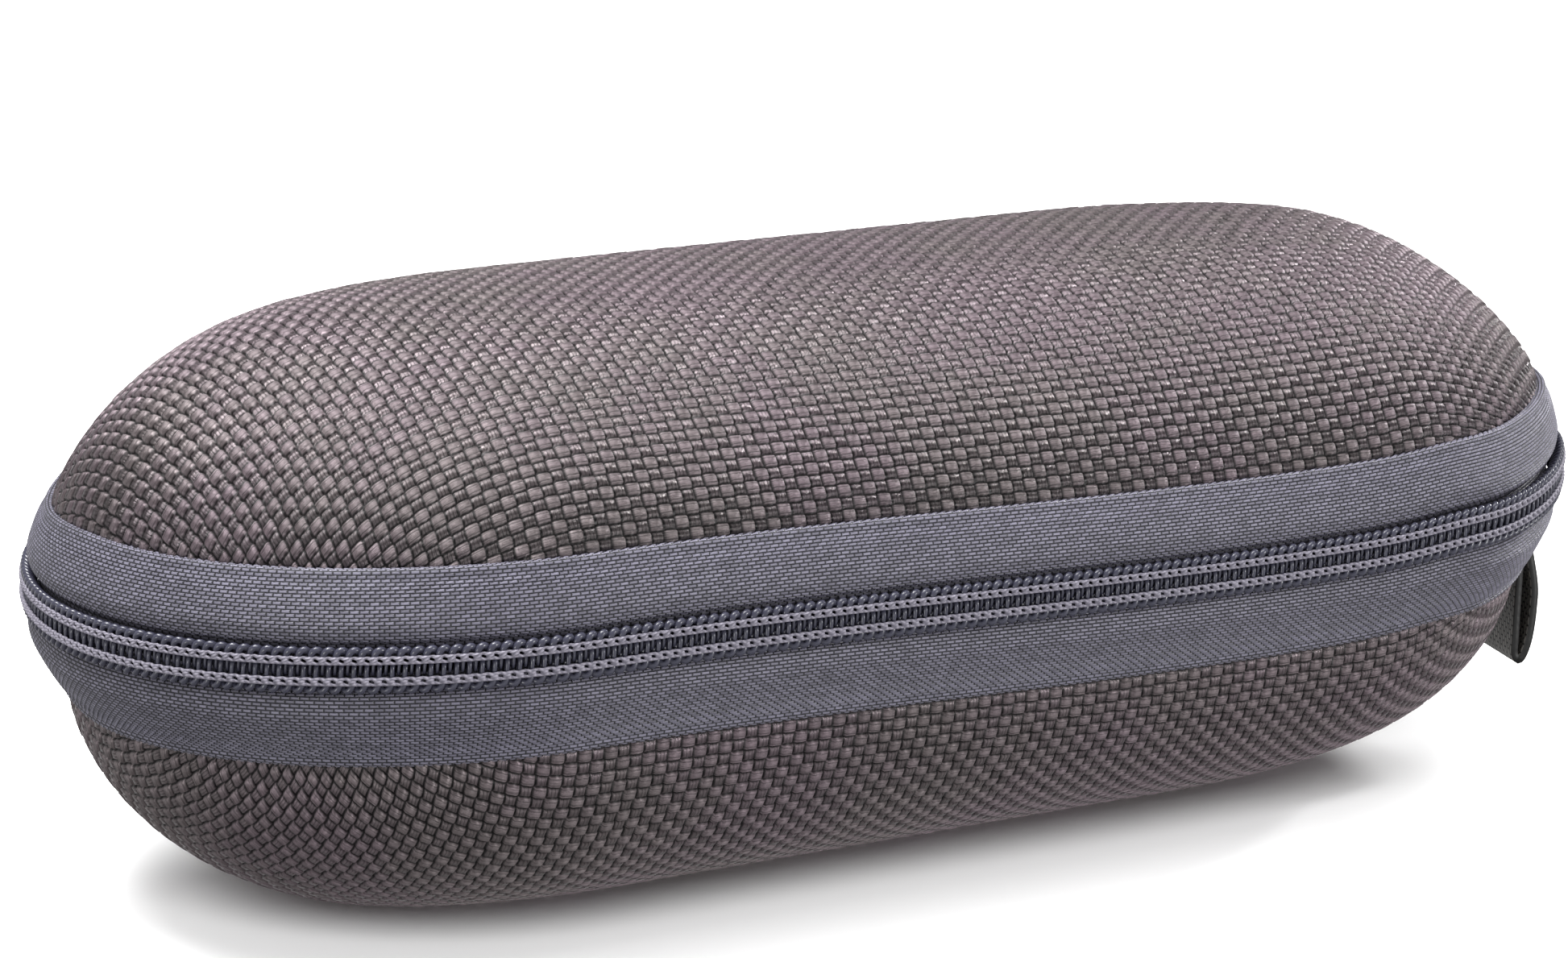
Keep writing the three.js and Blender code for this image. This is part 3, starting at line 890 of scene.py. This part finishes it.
def add_layer(half, name, depth, thickness, rim_away, material):
    """A moulded layer: outer and inner domes that meet in a rounded rim."""
    rim = half.band - rim_away
    soft = 0.3 * thickness
    wall = np.linspace(0, soft - rim, 5)[1:]
    outer, inner = (stacked(*half.section(d, 44, wall)) for d in (depth, depth + thickness))
    turn = np.linspace(0, PI, 9)[1:-1]
    middle = half.inset + depth + thickness / 2
    edge = stacked(middle - thickness / 2 * np.cos(turn), soft - rim - soft * np.sin(turn))
    profile = np.vstack([outer, edge, inner[::-1]])
    points, _ = rings(half, profile)
    faces = grid_faces(len(points), len(profile), wrap_rows=True, flip=half.side > 0)
    node = f"{half.name}_{name}"
    piece = add_mesh(f"{node}_moulded", points, faces, material, None, half.name, [node])
    form = welded(piece.data)
    form.to_mesh(piece.data)
    form.free()
    return piece


for half in (BASE, LID):
    shell = add_layer(half, "shell", SHELL_DEPTH, SHELL_THICKNESS, RIM_AWAY, FOAM)
    add_layer(half, "lining", LINING_DEPTH, LINING_THICKNESS, RIM_AWAY + 0.3 * MM, VELOUR)


def add_binding(half):
    """Tape over the lining's rim, and the stitches along it."""
    foot, top = -(half.band - RIM_AWAY - BINDING_WIDTH), -(half.band - RIM_AWAY)
    outer = half.inset + BINDING_INSET
    inner = outer + BINDING_THICKNESS
    steps = 15
    face = stacked(inner, np.linspace(top + 0.2 * MM, foot - 0.2 * MM, steps))
    face[:, 0] += 0.1 * MM * np.where(np.arange(steps) % 2, 1, -1)
    turned_top = [(inner - 0.1 * MM, foot), (outer + 0.1 * MM, foot)]
    turned_foot = [(outer + 0.1 * MM, top), (inner - 0.1 * MM, top)]
    profile = np.vstack([face, turned_top, turned_foot])
    points, along = rings(half, profile, 900)
    faces = grid_faces(len(points), len(profile), True, True, flip=half.side > 0)
    uv = stacked((along / BRICK)[:, None], np.arange(len(profile)) * 0.8)
    name = f"{half.name}_binding"
    add_mesh(f"{name}_tape", points, faces, BINDING, uv, half.name, [name])
    # a running stitch in the middle of the tape
    total = int(2 * HALF_ROUND / STITCH_PITCH)
    threads = []
    reach = np.linspace(-1, 1, 7)
    for k in range(total):
        at, _ = outline(-HALF_ROUND + (k + 0.5 + 0.33 * reach) * 2 * HALF_ROUND / total)
        inset = inner - 0.02 * MM + 0.22 * MM * (1 - reach ** 2)
        path = inside_outline(at, inset, half, (foot + top) / 2)
        threads.append(thread(path, 0.2 * MM * np.sqrt(1.02 - reach ** 2), k + 0.3 * reach, 6))
    points, faces, uv = joined(threads)
    add_mesh(f"{name}_stitches", points, faces, THREAD, uv, half.name)


for half in (BASE, LID):
    add_binding(half)

# ---- strips of fabric


def strip(front, normal, thickness, relief):
    """Points and quads of a closed strip: front (n, m, 3) with relief, and a smooth back."""
    rows, columns = front.shape[:2]
    raised = front + normal * relief[..., None]
    behind = front[:, ::-1] - normal[:, ::-1] * thickness
    points = np.concatenate([raised, behind], 1)
    faces = grid_faces(rows, 2 * columns, wrap_columns=True)
    j = np.arange(columns - 1)
    cap = stacked(j, j + 1, 2 * columns - 2 - j, 2 * columns - 1 - j)
    return points.reshape(-1, 3), np.vstack([faces, cap, cap[:, ::-1] + (rows - 1) * 2 * columns])


def strip_uv(u, v):
    """Yarn coordinates of a strip, the same on its back as on its front."""
    return stacked(u[:, None], np.concatenate([v, v[::-1]]))


HINGE_OVERLAP = 0.25 * MM  # the hinge's fabric reaches this far over the tapes' ends


def add_hinge():
    """One piece of tape across the back, from seam to seam."""
    lines = []
    for half in (BASE, LID):
        seam, band = -half.inset, half.band
        line = [
            (seam - 0.6 * MM, band + 0.1 * MM), (seam + 0.75 * MM, band - 0.6 * MM),
            (0.35 * seam, 0.72 * band), (-0.1 * MM, 0.5 * band),
        ]
        lines.append([(offset, ZIP_Z + half.side * away) for offset, away in line])
    line = smooth_line(lines[0] + [(0.0, ZIP_Z)] + lines[1][::-1], BRICK_ROW / 2)
    normal = line_normals(line)
    normal *= np.sign(normal[len(line) // 2, 0])
    columns = int(round(2 * (SIDE + HINGE_OVERLAP) / (BRICK / 4)))
    along = TAPE_END - HINGE_OVERLAP + np.arange(columns + 1) * BRICK / 4
    x = TAPE_END + SIDE - along
    front = stacked(x[:, None], END_RADIUS + line[:, 0], line[:, 1])
    outwards = stacked(0 * x[:, None], normal[:, 0], normal[:, 1])
    relief = bricks(columns + 1, len(line))
    # three shallow pressed grooves mark where the fabric folds
    for z in (-2.4 * MM, 0, 2.4 * MM):
        relief = relief - 0.22 * MM * np.exp(-((line[:, 1] - ZIP_Z - z) / (0.35 * MM)) ** 2)[None]
    points, faces = strip(front, outwards, TAPE_THICKNESS, relief)
    uv = strip_uv(along / BRICK, np.arange(len(line)) / 2 + 0.5)
    nodes = ["base_hinge_strip", "lid_hinge_strip"]
    piece = add_mesh("hinge_fabric", points, faces, TAPE, uv, None, nodes)
    ZIP_Z - 3 * MM
    ZIP_Z + 3 * MM
    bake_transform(piece)


add_hinge()


def add_loop():
    """Webbing folded in half, its two ends sewn into the lower seam."""
    width, thickness, turn = 17 * MM, 0.8 * MM, math.radians(-14)
    # (outward offset, height) of the middle of the webbing, in millimetres
    line = np.array([
        (-4.0, 28.9), (-4.12, 22), (-4.15, 15.5), (-3.95, 13.4), (-3.15, 12.45),
        (-2.35, 13.5), (-1.75, 16.5), (-1.45, 20), (-1.5, 23.5), (-2.65, 28.9),
    ])
    line = smooth_line(line * MM, 0.35 * MM)
    normal = -line_normals(line)
    count = 58
    across = (np.arange(count) / (count - 1) - 0.5) * width
    edge = np.abs(across) / (width / 2)
    # the fold is drawn in a little, and the selvages stand up
    narrow = 1 - 0.05 * np.exp(-((line[:, 1] - 12.4 * MM) / (2.2 * MM)) ** 2)
    out, up = np.array([math.cos(turn), math.sin(turn), 0]), np.array([0, 0, 1])
    start = END_RADIUS * out + [SIDE, 0, 0]
    side = np.cross(up, out) * (narrow[:, None] * across)[..., None]
    front = start + out * line[:, None, None, 0] + up * line[:, None, None, 1] + side
    outwards = out * normal[:, None, None, 0] + up * normal[:, None, None, 1] + 0 * front
    relief = 0.8 * bricks(len(line), count) + 0.22 * MM * smoothstep((edge - 0.86) / 0.06)[None]
    points, faces = strip(front + outwards * thickness / 2, outwards, thickness, relief)
    uv = strip_uv(np.arange(len(line)) / 4, np.arange(count) / 2 + 0.5)
    add_mesh("webbing_loop_woven", points, faces, WEBBING, uv, "base", ["webbing_loop"])


add_loop()

# ---- pocket in the lid

POCKET_LOW, POCKET_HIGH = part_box("lid_pocket")
POCKET_RADIUS = POCKET_HIGH.y
DIMPLE = 2.4 * MM  # from one dimple to the next
ROW_STEP = 0.866 * DIMPLE
MESH_STEP = 0.46 * MM  # between the sheet's points


def add_pocket():
    """Dimpled spacer mesh, stretched over the back half of the lid and sagging a little."""
    rows = int((POCKET_HIGH.y - POCKET_LOW.y) / MESH_STEP)
    columns = int(2 * POCKET_HIGH.x / MESH_STEP)
    y = np.linspace(POCKET_LOW.y, POCKET_HIGH.y - 0.15 * MM, rows)
    share = np.linspace(-1, 1, columns)
    x = share[:, None] * (SIDE + np.sqrt(np.maximum(POCKET_RADIUS ** 2 - y ** 2, 0)))
    y = y[None] + 0 * x
    row = np.round(y / ROW_STEP)
    shift = 0.5 * (row % 2)
    near_x = (x / DIMPLE - shift - np.round(x / DIMPLE - shift)) * DIMPLE
    near_y = y - row * ROW_STEP
    hole = np.exp(-(near_x ** 2 + near_y ** 2) / (0.55 * MM) ** 2)
    depth = (y - POCKET_LOW.y) / (POCKET_HIGH.y - POCKET_LOW.y)
    sag = 1.2 * MM * np.sin(PI * np.clip(depth, 0, 1)) * (1 - share[:, None] ** 6)
    front = stacked(x, y, POCKET_LOW.z - sag)
    down = np.array([0, 0, -1.0])
    points, faces = strip(front, down + 0 * front, 0.8 * MM, -0.45 * MM * hole)
    v = strip_uv(np.arange(columns), np.arange(rows) / rows)[..., 1]
    # the first yarn coordinate takes the dimples to the material, which paints shade in them
    uv = stacked(np.concatenate([hole, hole[:, ::-1]], 1), v)
    faces = faces[:, ::-1]
    sheet = add_mesh("lid_pocket_mesh", points, faces, MESH, uv, "lid", ["lid_pocket"])
    # a cord along the pocket's curved edge
    start = math.asin(POCKET_LOW.y / POCKET_RADIUS)
    turn = np.linspace(start, PI / 2, 40)
    radius = POCKET_RADIUS + 0.9 * MM
    right = stacked(SIDE + radius * np.cos(turn), radius * np.sin(turn))
    plan = smooth_line(np.vstack([right, right[::-1] * [-1, 1]]), 0.8 * MM)
    path = stacked(plan[:, 0], plan[:, 1], POCKET_LOW.z + 0.4 * MM)
    twist = 1 + 0.1 * np.cos(np.arange(len(path)) * PI)
    points, faces, uv = thread(path, 0.95 * MM * twist, np.arange(len(path)) * 0.7, 10)
    trim = add_mesh("lid_pocket_trim", points, faces, ELASTIC, uv * [1, 5], "lid")
    # ribbed elastic along the open edge
    low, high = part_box("lid_pocket_band")
    columns, count = int((high.x - low.x) / (0.45 * MM)), 15
    along = np.linspace(low.x, high.x, columns)
    across = np.linspace(0, 1, count)
    bulge = 0.35 * MM
    z = low.z + bulge - bulge * np.sin(PI * across) ** 0.5
    front = stacked(along[:, None], low.y + (high.y - low.y) * across, z)
    ribs = 0.12 * MM * np.where(np.arange(columns) % 2, 1, -1)[:, None] * np.sin(PI * across)[None] ** 0.3
    gathers = 0.2 * MM * np.sin(along / (2.1 * MM))[:, None] * (across[None] < 0.2)
    points, faces = strip(front, down + 0 * front, high.z - low.z - bulge, ribs + gathers)
    faces = faces[:, ::-1]
    uv = strip_uv(along / (1.1 * MM), np.arange(count) / 1.5)
    band = add_mesh("lid_pocket_elastic", points, faces, ELASTIC, uv, "lid", ["lid_pocket_band"])
    # the sheet's flat size, and the area of its straight stretch and two round ends
    flat_width, flat_length = POCKET_HIGH.x - POCKET_LOW.x, POCKET_HIGH.y - POCKET_LOW.y
    straight = 2 * SIDE * flat_length
    ends = POCKET_RADIUS ** 2 * (PI / 2 - start)
    ends -= POCKET_LOW.y * math.sqrt(POCKET_RADIUS ** 2 - POCKET_LOW.y ** 2)


add_pocket()

# ---- metal parts


def add_bevelled(name, body, width, follow_wave=False):
    """A copy of a node's form with its sharp edges rounded over."""
    form = welded(frame["nodes"][name].data)
    bmesh.ops.dissolve_limit(form, angle_limit=math.radians(1), verts=form.verts, edges=form.edges)
    sharp = [e for e in form.edges if len(e.link_faces) == 2 and e.calc_face_angle(0) > math.radians(35)]
    bmesh.ops.bevel(
        form, geom=sharp, offset=width, offset_type="OFFSET", segments=3, profile=0.5, affect="EDGES",
        clamp_overlap=True,
    )
    bmesh.ops.triangulate(form, faces=form.faces)
    mesh = bpy.data.meshes.new(f"{name}_bevelled")
    form.to_mesh(mesh)
    form.free()
    if follow_wave:
        points = np.empty(len(mesh.vertices) * 3, np.float32)
        mesh.vertices.foreach_get("co", points)
        points = wave(points.reshape(-1, 3).astype(float)).astype(np.float32)
        mesh.vertices.foreach_set("co", points.ravel())
    mesh.materials.append(METAL)
    mesh.shade_smooth()
    mesh.set_sharp_from_angle(angle=math.radians(40))
    piece = add_object(f"{name}_bevelled", mesh)
    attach(piece, body)
    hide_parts(name)


add_bevelled("slider_body", "slider", 0.3 * MM)
add_bevelled("pull_tab", "pull", 0.25 * MM)
for half in (BASE, LID):
    for end in ("left", "right"):
        add_bevelled(f"{half.name}_zip_stop_{end}", half.name, 0.35 * MM, follow_wave=True)

# ---- floor, lights, camera

MIDDLE = Vector((0, 0, ZIP_Z))
FLOOR_DROP, FLOOR_REACH = 0.1 * MM, 12.0

corners = [(x * FLOOR_REACH, y * FLOOR_REACH, -FLOOR_DROP) for x, y in ((-1, -1), (1, -1), (1, 1), (-1, 1))]
floor = add_mesh("floor", corners, [(0, 1, 2, 3)], floor_look())

# The tent is brightest low down, and the bench under the case is dim. The camera sees white.
TENT = ((-0.85, 0.3), (-0.15, 0.84), (0.25, 0.42))  # height of the direction, brightness

world = bpy.data.worlds.new("studio")
bpy.context.scene.world = world
studio = Nodes(world, "Background")
direction = studio.node("TexCoord", output="Generated")
tent = studio.node("ValToRGB", {0: studio.part(direction, 2) * 0.5 + 0.5})
ramp = tent.socket.node.color_ramp
ramp.interpolation = "EASE"
ramp.elements.new(0.5)
for element, (z, strength) in zip(ramp.elements, TENT):
    element.position = (z + 1) / 2
    element.color = (strength, strength, strength, 1)
camera_ray = studio.node("LightPath", output="Is Camera Ray")
studio.put(studio.inputs["Strength"], studio.choose(camera_ray, tent, 1.0))
studio.put(studio.inputs["Color"], (1, 1, 1, 1))


def towards(azimuth, elevation):
    """Direction seen from the case. Azimuth 0 is -Y, and grows to +X."""
    a, e = math.radians(azimuth), math.radians(elevation)
    return Vector((math.sin(a) * math.cos(e), -math.cos(a) * math.cos(e), math.sin(e)))


def add_lamp(name, kind, azimuth, elevation, power, **settings):
    """A lamp half a metre from the case, turned towards it."""
    light = bpy.data.lights.new(name, kind)
    light.energy = power
    for key, value in settings.items():
        setattr(light, key, value)
    lamp = add_object(name, light)
    direction = towards(azimuth, elevation)
    lamp.location = MIDDLE + direction * 0.5
    lamp.rotation_euler = direction.to_track_quat("Z", "Y").to_euler()
    return lamp


def add_sun(name, azimuth, elevation, strength, angle):
    """A distant light, as soft as its angle is wide."""
    return add_lamp(name, "SUN", azimuth, elevation, strength, angle=math.radians(angle))


add_sun("right_light", 99, 24, 1.4, 6)
add_lamp("left_softbox", "AREA", -99, 66, 2.9, size=0.2)
add_sun("top_light", -10, 80, 1.7, 40)
front_lights = [("front_light_right", 35, 7, 1.3, 12), ("front_light_left", -70, -6, 0.6, 12)]
floor_lights = [("floor_light_left", -35, 36, 3.0, 30), ("floor_light_right", 125, 36, 3.0, 30)]
# The front lights pass over the floor, which has its own two: the shadow stays close under the case.
for name, suns, state in (
    ("not_the_floor", front_lights, "EXCLUDE"), ("floor_only", floor_lights, "INCLUDE")
):
    receivers = bpy.data.collections.new(name)
    receivers.objects.link(floor)
    receivers.collection_objects[0].light_linking.link_state = state
    for sun in suns:
        add_sun(*sun).light_linking.receiver_collection = receivers
# The floor only takes shadows: the case also gets light from below, as on a bench of glass.
floor.visible_diffuse = False
floor.visible_glossy = False
floor.visible_shadow = False

bpy.context.scene.view_settings.view_transform = "Standard"

CAMERA_AZIMUTH, CAMERA_ELEVATION, CAMERA_ROLL = -32.3, 14.25, math.radians(1.16)
CAMERA_DISTANCE, CAMERA_LENS = 0.6825, 119.92

camera_data = bpy.data.cameras.new("camera")
camera_data.sensor_width = 36
camera_data.lens = CAMERA_LENS
camera = add_object("camera", camera_data)
camera.location = MIDDLE + towards(CAMERA_AZIMUTH, CAMERA_ELEVATION) * CAMERA_DISTANCE
aim = MIDDLE + Vector((-4.3, 3.8, 3.6)) * MM
ahead = (aim - camera.location).normalized()
level = ahead.cross(Vector((0, 0, 1))).normalized()
upright = level.cross(ahead)
right = level * math.cos(CAMERA_ROLL) + upright * math.sin(CAMERA_ROLL)
axes = Matrix((right, right.cross(ahead), -ahead)).transposed()
camera.matrix_world = Matrix.Translation(camera.location) @ axes.to_4x4()
bpy.context.scene.camera = camera
